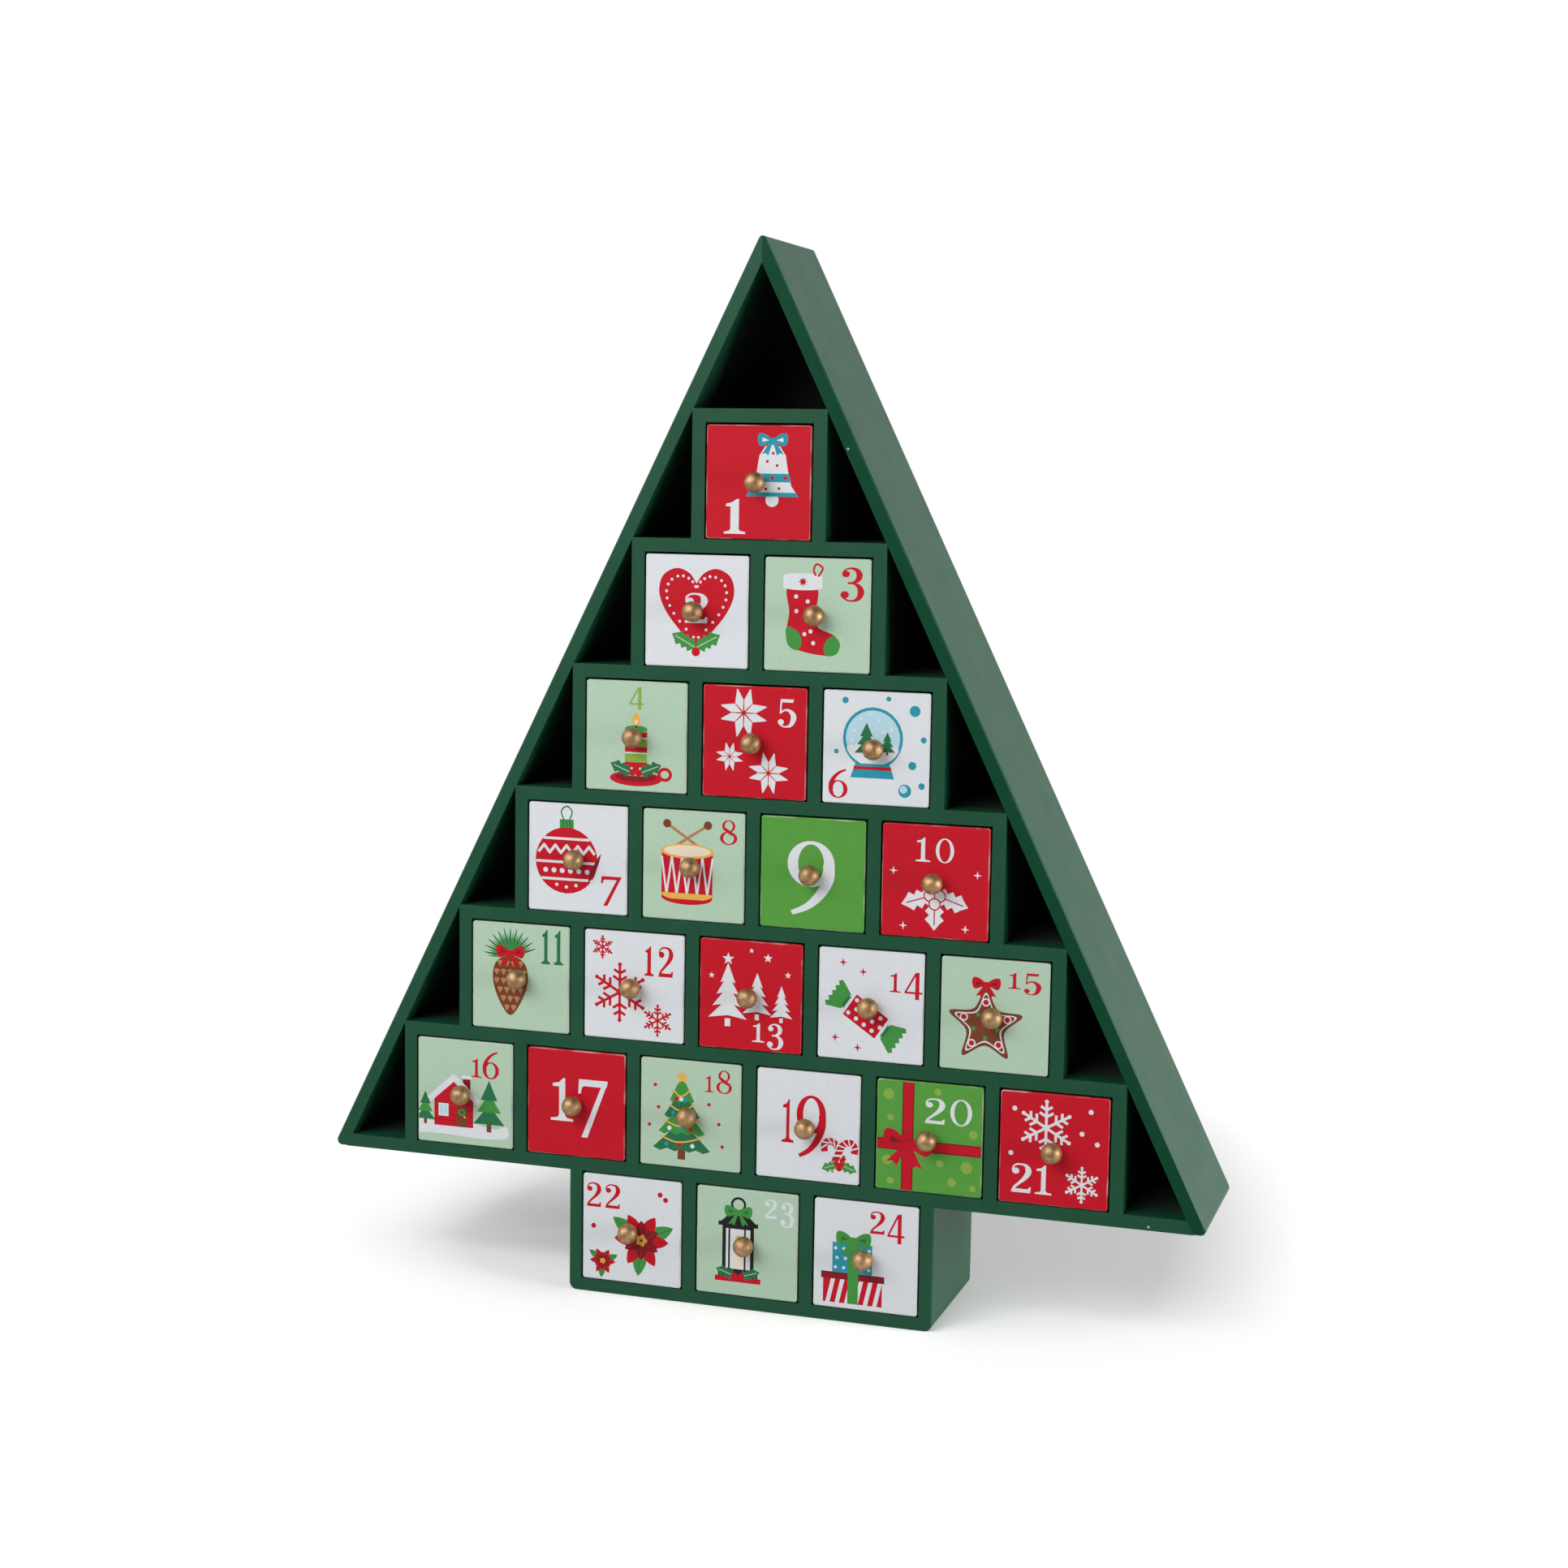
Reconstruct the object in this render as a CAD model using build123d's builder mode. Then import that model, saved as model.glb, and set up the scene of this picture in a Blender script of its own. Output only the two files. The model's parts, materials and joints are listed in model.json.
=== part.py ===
from build123d import *

import math
import os

# Advent calendar in the outline of a fir tree: a glued carcass of thin boards, with a pocket for each
# of 24 pull-out drawers. The origin is under the middle of the trunk, the front looks along -Y.

# Carcass, in millimetres
board = 5.0                 # thickness of every carcass board
pocket_width = 41.0         # clear width of one drawer pocket
pocket_height = 42.0        # clear height of one drawer pocket
carcass_depth = 60.0        # front edge to back edge
tree_rows = 6               # row k, counted from the tip, holds k drawers
trunk_drawers = 3
housing_depth = 2.5         # how far the end of an upright is let into a shelf
housing_gap = 0.05          # glue line at each side of an upright in its housing
corner_seat = 0.3           # width planed off a shelf's top corner, to seat on the side board
back_thickness = 2.5
back_gap = 0.05             # glue line all round a back panel

# Roundings of the carcass
tip_radius = 1.5            # outside of the side boards' mitre
foot_radius = 2.0           # feet of the side boards
trunk_radius = 3.0
edge_easing = 0.5           # chamfer on outer edges
back_rounding_share = 0.9   # of the tip radius, rounds the side boards' back edges

# Drawer
side_reveal = 0.7           # gap at each side of a front
floor_gap = 0.3             # running gap under a drawer
top_reveal = 0.8            # gap above a front
rear_gap = 0.5              # play behind a drawer that is pushed in
front_proud = 0.3           # how far a front stands before the carcass
front_thickness = 5.0
front_corner = 0.6          # cut off each of a front's four corners
front_easing = 0.35         # chamfer round its face
tray_wall = 2.5
tray_floor = 2.0
tray_drop = 4.9             # how far the tray stays below the top of its front
rebate_depth = 2.5          # how far a front is cut back behind for the tray sides

# Knob, its rounds cut in flats
knob_side_count = 12
ball_rings = 7
knob_diameter = 7.6
neck_diameter = 3.4
foot_diameter = 4.4
foot_height = 0.9
spigot_diameter = 2.5
socket_floor = 1.2          # wood left behind the spigot's socket
spigot_gap = 0.1            # glue line round the spigot and at its end

# Sizes and places that follow
pitch_x = pocket_width + board
pitch_z = pocket_height + board
inner_depth = carcass_depth - back_thickness
upright_height = pocket_height + 2 * housing_depth
housing_width = board + 2 * housing_gap
base_underside = board + pocket_height
base_top = base_underside + board
front_width = pocket_width - 2 * side_reveal
front_height = pocket_height - floor_gap - top_reveal
front_rear = front_thickness - front_proud
tray_length = inner_depth - rear_gap - front_rear
tray_height = front_height - tray_drop
spigot_length = front_thickness - socket_floor - spigot_gap
knob_height = floor_gap + front_height / 2

# The side boards lean in by half a pocket pitch for each row, so that they touch every shelf
slope = pitch_x / 2 / pitch_z
lean = math.atan(slope)

# Profiles lie in these planes and are extruded backwards, by a negative amount
carcass_front = Plane.XZ.offset(carcass_depth / 2)
panel_front = Plane.XZ.offset(back_thickness - carcass_depth / 2)
drawer_face = Plane.XZ.offset(front_proud)

os.makedirs("parts", exist_ok=True)


def columns(count):
    return [(place - (count - 1) / 2) * pitch_x for place in range(count)]


def row_floor(row):
    return base_top + (tree_rows - row) * pitch_z


def shelf_underside(row):
    return row_floor(row) + pocket_height


def half_length(drawers):
    return (drawers * pitch_x + board) / 2


def reach(tip, height):
    return (tip - height) * slope


def write(piece, name):
    piece.label = name
    export_step(piece, f"parts/{name}.step")


inner_tip = shelf_underside(1) + board + (half_length(1) - corner_seat) / slope
outer_tip = inner_tip + board / math.sin(lean)
panel_tip = inner_tip - back_gap / math.sin(lean)
trunk_columns = columns(trunk_drawers + 1)
trunk_width = 2 * half_length(trunk_drawers)


# Side boards, mitred at the tip and cut level at the feet
outer_foot = reach(outer_tip, base_underside)
inner_foot = reach(inner_tip, base_underside)
for name, side in (("left_side_board", Keep.BOTTOM), ("right_side_board", Keep.TOP)):
    with BuildPart() as side_board:
        with BuildSketch(carcass_front):
            with BuildLine():
                Polyline(
                    (0, outer_tip),
                    (outer_foot, base_underside),
                    (inner_foot, base_underside),
                    (0, inner_tip),
                    (-inner_foot, base_underside),
                    (-outer_foot, base_underside),
                    close=True,
                )
            make_face()
            fillet(vertices().sort_by(Axis.Y)[-1], tip_radius)
            feet = vertices().group_by(Axis.Y)[0].sort_by(Axis.X)
            fillet([feet[0], feet[-1]], foot_radius)
        extrude(amount=-carcass_depth)
        chamfer(faces().sort_by(Axis.Y)[0].edges().sort_by(SortBy.LENGTH)[-2:], edge_easing)
        back_edges = faces().sort_by(Axis.Y)[-1].edges().sort_by(SortBy.LENGTH)[-2:]
        fillet(back_edges, tip_radius * back_rounding_share)
        split(bisect_by=Plane.YZ, keep=side)
    write(side_board.part, name)


# Base board between the side boards, housed above for the dividers and below for the trunk
with BuildPart() as base_board:
    with BuildSketch(carcass_front):
        with BuildLine():
            Polyline(
                (inner_foot, base_underside),
                (reach(inner_tip, base_top), base_top),
                (-reach(inner_tip, base_top), base_top),
                (-inner_foot, base_underside),
                close=True,
            )
        make_face()
    extrude(amount=-carcass_depth)
    with BuildSketch(carcass_front):
        with Locations(*[(x, base_top) for x in columns(tree_rows + 1)]):
            Rectangle(housing_width, housing_depth, align=(Align.CENTER, Align.MAX))
        with Locations(*[(x, base_underside) for x in trunk_columns[1:-1]]):
            Rectangle(housing_width, housing_depth, align=(Align.CENTER, Align.MIN))
    extrude(amount=-inner_depth, mode=Mode.SUBTRACT)
    with BuildSketch(carcass_front):
        with Locations((trunk_columns[0], base_underside), (trunk_columns[-1], base_underside)):
            Rectangle(housing_width, housing_depth, align=(Align.CENTER, Align.MIN))
    extrude(amount=-carcass_depth, mode=Mode.SUBTRACT)
write(base_board.part, "base_board")


# Shelves: the row below is housed from underneath, the row above from on top
for row in range(1, tree_rows + 1):
    underside = shelf_underside(row)
    top = underside + board
    end = half_length(row)
    shoulder = top - corner_seat / slope
    with BuildPart() as shelf:
        with BuildSketch(carcass_front):
            with BuildLine():
                Polyline(
                    (-end, underside),
                    (end, underside),
                    (end, shoulder),
                    (end - corner_seat, top),
                    (corner_seat - end, top),
                    (-end, shoulder),
                    close=True,
                )
            make_face()
            with Locations(*[(x, underside) for x in columns(row + 1)]):
                Rectangle(housing_width, housing_depth, align=(Align.CENTER, Align.MIN), mode=Mode.SUBTRACT)
            if row > 1:
                with Locations(*[(x, top) for x in columns(row)]):
                    Rectangle(housing_width, housing_depth, align=(Align.CENTER, Align.MAX), mode=Mode.SUBTRACT)
        extrude(amount=-inner_depth)
    write(shelf.part, f"shelf_{row}")


# Dividers, all alike, between and beside the drawers
divider_tops = [(x, base_underside + housing_depth) for x in trunk_columns[1:-1]]
for row in range(1, tree_rows + 1):
    divider_tops += [(x, shelf_underside(row) + housing_depth) for x in columns(row + 1)]
with BuildPart() as dividers:
    with BuildSketch(carcass_front):
        with Locations(*divider_tops):
            Rectangle(board, upright_height, align=(Align.CENTER, Align.MAX))
    extrude(amount=-inner_depth)
write(dividers.part, "dividers")


# Trunk: two sides on the ends of a bottom board, shaped together by one block with eased edges
with BuildPart() as trunk_block:
    with BuildSketch(carcass_front):
        block_height = base_top + trunk_radius
        with Locations((0, block_height / 2)):
            RectangleRounded(trunk_width, block_height, trunk_radius)
    extrude(amount=-carcass_depth)
    chamfer(faces().sort_by(Axis.Y)[0].edges(), edge_easing)
    chamfer(faces().sort_by(Axis.Y)[-1].edges(), edge_easing)

with BuildPart() as trunk_bottom:
    with BuildSketch(carcass_front):
        with Locations((0, board / 2)):
            Rectangle(trunk_width, board)
        with Locations((trunk_columns[0], board), (trunk_columns[-1], board)):
            Rectangle(housing_width, housing_depth, align=(Align.CENTER, Align.MAX), mode=Mode.SUBTRACT)
    extrude(amount=-carcass_depth)
    with BuildSketch(carcass_front):
        with Locations(*[(x, board) for x in trunk_columns[1:-1]]):
            Rectangle(housing_width, housing_depth, align=(Align.CENTER, Align.MAX))
    extrude(amount=-inner_depth, mode=Mode.SUBTRACT)
    add(trunk_block.part, mode=Mode.INTERSECT)

with BuildPart() as trunk_sides:
    with BuildSketch(carcass_front):
        with Locations((trunk_columns[0], base_underside), (trunk_columns[-1], base_underside)):
            Rectangle(board, pocket_height + housing_depth, align=(Align.CENTER, Align.MAX))
    extrude(amount=-carcass_depth)
    add(trunk_block.part, mode=Mode.INTERSECT)
    with BuildSketch(carcass_front):
        with Locations((trunk_columns[0], base_underside), (trunk_columns[-1], base_underside)):
            Rectangle(board, housing_depth, align=(Align.CENTER, Align.MIN))
    extrude(amount=-carcass_depth)

write(Compound(children=[trunk_bottom.part, trunk_sides.part]), "trunk_box")


# Back panels, set in flush with the back edges of the outer boards
with BuildPart() as back_panels:
    with BuildSketch(panel_front):
        panel_foot = base_top + back_gap
        with BuildLine():
            Polyline(
                (0, panel_tip),
                (reach(panel_tip, panel_foot), panel_foot),
                (-reach(panel_tip, panel_foot), panel_foot),
                close=True,
            )
        make_face()
        with Locations((0, board + pocket_height / 2)):
            Rectangle(trunk_width - 2 * board - 2 * back_gap, pocket_height - 2 * back_gap)
    extrude(amount=-back_thickness)
write(back_panels.part, "back_panels")


# One drawer, in its pocket's own frame: x across the pocket, y = 0 at the carcass front, z = 0 on its floor
with BuildPart() as drawer_front:
    with BuildSketch(drawer_face):
        with Locations((0, knob_height)):
            Rectangle(front_width, front_height)
        chamfer(vertices(), front_corner)
    extrude(amount=-front_thickness)
    chamfer(faces().sort_by(Axis.Y)[0].edges(), front_easing)
    with BuildSketch(Plane.XY.offset(floor_gap)):
        with Locations((-front_width / 2, front_rear)):
            Rectangle(tray_wall, rebate_depth, align=(Align.MIN, Align.MAX))
        with Locations((front_width / 2, front_rear)):
            Rectangle(tray_wall, rebate_depth, align=(Align.MAX, Align.MAX))
    extrude(amount=front_height, mode=Mode.SUBTRACT)
    with BuildSketch(drawer_face):
        with Locations((0, knob_height)):
            RegularPolygon(spigot_diameter / 2 + spigot_gap, knob_side_count)
    extrude(amount=-spigot_length - spigot_gap, mode=Mode.SUBTRACT)
drawer_front.part.label = "front"

with BuildPart() as tray_sides:
    with BuildSketch(Plane.XY.offset(floor_gap)):
        with Locations((-front_width / 2, front_rear - rebate_depth)):
            Rectangle(tray_wall, tray_length + rebate_depth, align=(Align.MIN, Align.MIN))
        with Locations((front_width / 2, front_rear - rebate_depth)):
            Rectangle(tray_wall, tray_length + rebate_depth, align=(Align.MAX, Align.MIN))
    extrude(amount=tray_height)
tray_sides.part.label = "sides"

tray_inner_width = front_width - 2 * tray_wall
with BuildPart() as tray_back:
    with BuildSketch(Plane.XY.offset(floor_gap)):
        with Locations((0, front_rear + tray_length)):
            Rectangle(tray_inner_width, tray_wall, align=(Align.CENTER, Align.MAX))
    extrude(amount=tray_height)
tray_back.part.label = "back"

with BuildPart() as tray_bottom:
    with BuildSketch(Plane.XY.offset(floor_gap)):
        with Locations((0, front_rear)):
            Rectangle(tray_inner_width, tray_length - tray_wall, align=(Align.CENTER, Align.MIN))
    extrude(amount=tray_floor)
tray_bottom.part.label = "bottom"


# One turned knob: spigot, foot and ball, about the Y axis
ball_radius = knob_diameter / 2
neck_angle = math.asin(neck_diameter / knob_diameter)
ball_centre = -front_proud - foot_height - ball_radius * math.cos(neck_angle)
ball_points = [(0, ball_centre - ball_radius, 0)]
for ring in range(ball_rings):
    ring_angle = neck_angle + (math.pi - neck_angle) * ring / ball_rings
    ring_radius = ball_radius * math.sin(ring_angle)
    ring_place = ball_centre + ball_radius * math.cos(ring_angle)
    for side in range(knob_side_count):
        turn = 2 * math.pi * side / knob_side_count
        ball_points.append((ring_radius * math.cos(turn), ring_place, ring_radius * math.sin(turn)))

with BuildPart() as knob:
    with BuildSketch(drawer_face):
        RegularPolygon(spigot_diameter / 2, knob_side_count)
    extrude(amount=-spigot_length)
    with BuildSketch(drawer_face):
        RegularPolygon(foot_diameter / 2, knob_side_count)
    extrude(amount=foot_height)
    ConvexPolyhedron(ball_points)


# Twenty-four drawers, numbered row by row from the tip and last in the trunk
pockets = [(x, row_floor(row)) for row in range(1, tree_rows + 1) for x in columns(row)]
pockets += [(x, board) for x in columns(trunk_drawers)]
drawer_pieces = [drawer_front.part, tray_sides.part, tray_back.part, tray_bottom.part]
for number, (x, pocket_floor) in enumerate(pockets, start=1):
    drawer_place = Location((x, -carcass_depth / 2, pocket_floor))
    knob_place = Location((x, -carcass_depth / 2, pocket_floor + knob_height))
    write(Compound(children=[piece.moved(drawer_place) for piece in drawer_pieces]), f"drawer_{number:02d}")
    write(knob.part.moved(knob_place), f"knob_{number:02d}")
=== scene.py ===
import json
import math
import bmesh
import bpy
from mathutils import Matrix, Vector
from mathutils.geometry import delaunay_2d_cdt


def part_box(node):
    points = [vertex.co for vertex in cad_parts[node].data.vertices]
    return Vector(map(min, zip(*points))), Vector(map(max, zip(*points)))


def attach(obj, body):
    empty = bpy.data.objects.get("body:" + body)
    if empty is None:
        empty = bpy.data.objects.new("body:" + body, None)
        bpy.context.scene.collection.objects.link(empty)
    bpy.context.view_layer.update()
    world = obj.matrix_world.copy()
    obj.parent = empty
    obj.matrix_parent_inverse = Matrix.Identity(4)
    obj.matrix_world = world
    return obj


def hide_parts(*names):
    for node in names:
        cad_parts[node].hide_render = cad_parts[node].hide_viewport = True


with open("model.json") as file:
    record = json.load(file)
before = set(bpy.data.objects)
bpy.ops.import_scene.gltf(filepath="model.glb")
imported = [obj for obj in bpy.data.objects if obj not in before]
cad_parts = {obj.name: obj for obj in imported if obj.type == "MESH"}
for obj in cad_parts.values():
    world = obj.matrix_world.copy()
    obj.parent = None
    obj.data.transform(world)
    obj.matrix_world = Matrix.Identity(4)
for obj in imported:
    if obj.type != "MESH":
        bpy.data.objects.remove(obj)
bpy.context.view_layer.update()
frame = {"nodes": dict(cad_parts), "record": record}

# Advent calendar: green carcass, 24 printed drawer fronts, turned brass knobs
scene = bpy.context.scene
mm = 0.001
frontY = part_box("shelf_1")[0].y      # front edges of the boards
print("frame loaded,", len(frame["nodes"]), "nodes")


def addObject(name, data):
    made = bpy.data.objects.new(name, data)
    scene.collection.objects.link(made)
    return made


# Camera
cameraSet = dict(place=(0.2900, -0.9023, 0.3120), azimuth=17.706, elevation=7.029, roll=0.948,
                 lens=58.30, sensor=36.0, nearest=0.01)


def placeCamera():
    turn, tilt, roll = [math.radians(cameraSet[key]) for key in ("azimuth", "elevation", "roll")]
    ahead = Vector((-math.sin(turn) * math.cos(tilt), math.cos(turn) * math.cos(tilt), -math.sin(tilt)))
    right = Vector((math.cos(turn), math.sin(turn), 0))
    up = right.cross(ahead)
    right, up = right * math.cos(roll) + up * math.sin(roll), up * math.cos(roll) - right * math.sin(roll)
    data = bpy.data.cameras.new("camera")
    data.lens = cameraSet["lens"]
    data.sensor_width = cameraSet["sensor"]
    data.clip_start = cameraSet["nearest"]
    facing = Matrix((right, up, -ahead)).transposed().to_4x4()
    scene.camera = addObject("camera", data)
    scene.camera.matrix_world = Matrix.Translation(cameraSet["place"]) @ facing


placeCamera()
scene.view_settings.view_transform = "Standard"


# Shader nodes
noiseSpan = (0.3, 0.7)      # nearly all of a noise lies between these


def isSocket(value):
    return isinstance(value, bpy.types.NodeSocket)


def addNode(tree, kind, sockets=None, **settings):
    made = tree.nodes.new("ShaderNode" + kind)
    for key, value in settings.items():
        setattr(made, key, value)
    for key, value in (sockets or {}).items():
        if isSocket(value):
            tree.links.new(value, made.inputs[key])
        else:
            made.inputs[key].default_value = value
    return made


def newMaterial(name):
    made = bpy.data.materials.new(name)
    made.use_nodes = True
    return made, made.node_tree


def speckle(tree, size, detail=3.0, stretch=(1, 1, 1)):      # noise with blotches of about this size in mm
    spot = addNode(tree, "TexCoord").outputs["Object"]
    spread = addNode(tree, "Mapping", {"Vector": spot, "Scale": [s / (size * mm) for s in stretch]})
    made = addNode(tree, "TexNoise", {"Vector": spread.outputs[0], "Scale": 1.0, "Detail": detail})
    return made.outputs["Fac"]


def remap(tree, value, low, high, toLow=0.0, toHigh=1.0):
    made = addNode(tree, "MapRange", {"Value": value, "From Min": low, "From Max": high,
                                      "To Min": toLow, "To Max": toHigh})
    return made.outputs[0]


def blend(tree, share, first, second):
    first, second = [value if isSocket(value) else (*value, 1) for value in (first, second)]
    return addNode(tree, "Mix", {0: share, 6: first, 7: second}, data_type="RGBA").outputs[2]


def maths(tree, operation, first, second):
    return addNode(tree, "Math", {0: first, 1: second}, operation=operation).outputs[0]


def sheen(tree, settings, detail=3.0):
    return remap(tree, speckle(tree, settings["sheen"], detail), *noiseSpan, *settings["roughness"])


def finish(made, settings, colour, roughness, height):
    tree = made.node_tree
    sockets = tree.nodes["Principled BSDF"].inputs
    bump = addNode(tree, "Bump", {"Height": height, "Distance": settings["relief"] * mm, "Strength": 1.0})
    for key, value in (("Base Color", colour), ("Roughness", roughness), ("Normal", bump.outputs[0])):
        tree.links.new(value, sockets[key])
    sockets["Specular IOR Level"].default_value = settings["gloss"]
    sockets["Metallic"].default_value = settings.get("metallic", 0.0)
    return made


# Green satin paint of the carcass, lengths in mm
# the darkest tone colours the housed joint marks and is also painted shade deep inside the niches
greenSet = dict(paint=(0.0050, 0.062, 0.028), light=(0.0065, 0.069, 0.032), shadeAndJointTone=(0.021, 0.030, 0.026),
                cloud=9.0, grain=1.6, sheen=16.0, roughness=(0.41, 0.45), gloss=0.25, relief=0.004)
# a darker, less glossy copy of the green: painted shade on the right side board's front face
shadedEdgeSet = dict(greenSet, shade=0.82, gloss=0.06)
innerShadeSet = dict(start=3.0, end=15.0, ragged=6.0, blotch=5.0)
gridSet = dict(across=23.0, up=47.0, firstLine=49.5, halfLength=2.6, soft=0.3, halfWidth=0.16,
               blotch=2.2, blotchSpan=(0.42, 0.6), share=0.75, groove=2.0)
chipSet = dict(places=((33.3, 320.1), (149.7, 48.3)), small=0.35, large=0.8, ragged=0.5, blotch=0.6,
               colour=(0.62, 0.62, 0.56))


def raggedness(tree, settings):
    return maths(tree, "MULTIPLY", speckle(tree, settings["blotch"]), settings["ragged"] * mm)


def fadeInward(tree, spot, colour):      # painted shade: green near the front, darkening going into the niches
    behind = maths(tree, "SUBTRACT", spot["Y"], frontY)
    behind = maths(tree, "ADD", behind, raggedness(tree, innerShadeSet))
    start, end = [(innerShadeSet[key] + innerShadeSet["ragged"] / 2) * mm for key in ("start", "end")]
    return blend(tree, remap(tree, behind, start, end), colour, greenSet["shadeAndJointTone"])


def housedEnds(tree, spot):      # thin marks at the ends of the uprights, in the middle of each shelf
    long, soft, wide = [gridSet[key] * mm for key in ("halfLength", "soft", "halfWidth")]
    beside = maths(tree, "PINGPONG", spot["X"], gridSet["across"] / 2 * mm)
    above = maths(tree, "SUBTRACT", spot["Z"], gridSet["firstLine"] * mm)
    above = maths(tree, "PINGPONG", above, gridSet["up"] / 2 * mm)
    onLine = maths(tree, "MULTIPLY", remap(tree, beside, long, long - soft), remap(tree, above, wide, 0.0))
    patchy = remap(tree, speckle(tree, gridSet["blotch"]), *gridSet["blotchSpan"], 0.0, gridSet["share"])
    return maths(tree, "MULTIPLY", onLine, patchy)


def chipPaint(tree, place, colour):
    ragged = raggedness(tree, chipSet)
    for u, v in chipSet["places"]:
        middle = (u * mm, frontY, v * mm)
        away = addNode(tree, "VectorMath", {0: place, 1: middle}, operation="DISTANCE").outputs["Value"]
        away = maths(tree, "ADD", away, ragged)
        chipped = remap(tree, away, chipSet["large"] * mm, chipSet["small"] * mm)
        colour = blend(tree, chipped, colour, chipSet["colour"])
    return colour


# the darker copy of the paint is painted shade
def greenPaint(name, inside=False, jointLines=False, shadedEdge=False):
    made, tree = newMaterial(name)
    shade = shadedEdgeSet["shade"] if shadedEdge else 1.0
    dark, light = [[part * shade for part in greenSet[key]] for key in ("paint", "light")]
    colour = blend(tree, remap(tree, speckle(tree, greenSet["cloud"]), *noiseSpan), dark, light)
    place = addNode(tree, "TexCoord").outputs["Object"]
    spot = addNode(tree, "SeparateXYZ", {0: place}).outputs
    height = speckle(tree, greenSet["grain"], 2.0)
    # inner faces: painted shade, darker the further back they lie
    if inside:
        colour = fadeInward(tree, spot, colour)
    if jointLines:
        onLine = housedEnds(tree, spot)
        colour = chipPaint(tree, place, blend(tree, onLine, colour, greenSet["shadeAndJointTone"]))
        height = maths(tree, "SUBTRACT", height, maths(tree, "MULTIPLY", onLine, gridSet["groove"]))
    return finish(made, shadedEdgeSet if shadedEdge else greenSet, colour, sheen(tree, greenSet, 2.0), height)


frontGreen = greenPaint("green_paint_front", jointLines=True)
shadedEdgeGreen = greenPaint("green_paint_edge_painted_shade", jointLines=True, shadedEdge=True)
outerGreen = greenPaint("green_paint_outer")
# inner faces of the niches, with painted shade that darkens inward
shadedInnerGreen = greenPaint("green_paint_inner_painted_shade", inside=True)


# Back panels: near-black inside, painted shade at the back of the niches; thin green coat outside
backSet = dict(cloud=14.0, cloudSpan=(0.35, 0.65), sheen=2.0, gloss=0.2, grain=0.5, relief=0.08)
outsideSet = dict(backSet, tones=((0.010, 0.048, 0.028), (0.015, 0.060, 0.036)), roughness=(0.55, 0.7))
# near-black tones: painted shade at the back of the niches
insideShadeSet = dict(backSet, tones=((0.0060, 0.0072, 0.0068), (0.0084, 0.0096, 0.0092)), roughness=(0.7, 0.8))


def panelPaint(name, settings):
    made, tree = newMaterial(name)
    cloud = remap(tree, speckle(tree, settings["cloud"], 5.0), *settings["cloudSpan"])
    colour = blend(tree, cloud, *settings["tones"])
    return finish(made, settings, colour, sheen(tree, settings), speckle(tree, settings["grain"], 4.0))


panelOutside = panelPaint("back_panel_outside", outsideSet)
panelInsideShade = panelPaint("back_panel_inside_painted_shade", insideShadeSet)


# Which coat each face of the carcass has: limits for its normal, then lengths in mm
coatSet = dict(facing=0.9, downward=0.5, tilted=0.2, sideways=0.3, skin=0.5, trunkRound=3.5, footRound=4.0)


def coatFace(name, face):
    centre, normal = face.center, face.normal
    if normal.y < -coatSet["facing"] and centre.y < frontY + coatSet["skin"] * mm:
        # the right side board's front face gets the darker copy, a painted shade
        return shadedEdgeGreen if name == "right_side_board" else frontGreen
    if normal.y > coatSet["facing"] and centre.y > -frontY - coatSet["skin"] * mm:
        return panelOutside if name == "back_panels" else outerGreen
    if name == "back_panels":
        return panelInsideShade
    if name.endswith("side_board"):
        within = normal.z < -coatSet["tilted"] and abs(normal.x) > coatSet["sideways"]
        return shadedInnerGreen if within else outerGreen
    if name == "base_board":
        under = normal.z < -coatSet["downward"] and abs(centre.x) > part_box("trunk_box")[1].x
        return outerGreen if under else shadedInnerGreen
    if name == "trunk_box":
        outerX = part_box(name)[1].x - coatSet["trunkRound"] * mm
        outward = normal.x * centre.x > 0 and abs(centre.x) > outerX
        under = normal.z < -coatSet["sideways"] and centre.z < coatSet["footRound"] * mm
        return outerGreen if outward or under else shadedInnerGreen
    return shadedInnerGreen


def coat(name, choose):
    mesh = frame["nodes"][name].data
    mesh.materials.clear()
    order = []
    for face in mesh.polygons:
        picked = choose(name, face)
        if picked not in order:
            order.append(picked)
            mesh.materials.append(picked)
        face.material_index = order.index(picked)


for name in frame["record"]["behaviour"]["bodies"]["carcass"]:
    coat(name, coatFace)
print("carcass painted")


# Drawers: printed front with worn edges, plain wooden tray
inks = dict(
    red=(0.50, 0.0045, 0.016), white=(0.66, 0.685, 0.715), paleGreen=(0.412, 0.560, 0.427),
    brightGreen=(0.085, 0.30, 0.045), darkGreen=(0.02, 0.15, 0.06), green=(0.05, 0.26, 0.05),
    olive=(0.22, 0.38, 0.06), teal=(0.02, 0.27, 0.36), paleTeal=(0.42, 0.62, 0.70),
    black=(0.010, 0.010, 0.012), brown=(0.17, 0.045, 0.018), tan=(0.40, 0.20, 0.08),
    gold=(0.72, 0.40, 0.07), darkRed=(0.20, 0.008, 0.014), cream=(0.74, 0.66, 0.52))
inkSet = dict(paler=1.05, lift=0.002, darker=0.95, fleck=0.5, fleckSpan=(0.36, 0.64), cloud=6.0,
              cloudSpan=(0.35, 0.7), cloudShare=0.35, sheen=1.5, roughness=(0.44, 0.60), gloss=0.15,
              grain=0.45, relief=0.02)
edgeSet = dict(wear=9.0, wearSpan=(0.46, 0.74), wearShare=0.6, sheen=0.8, roughness=(0.5, 0.7), gloss=0.5,
               grain=0.4, relief=0.05)
woodSet = dict(pale=(0.60, 0.44, 0.27), dark=(0.47, 0.32, 0.18), edge=(0.70, 0.60, 0.47), fibre=1.0,
               stretch=(1, 0.04, 1), fibreSpan=(0.35, 0.65), roughness=(0.75, 0.6), gloss=0.25, relief=0.08)


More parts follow.
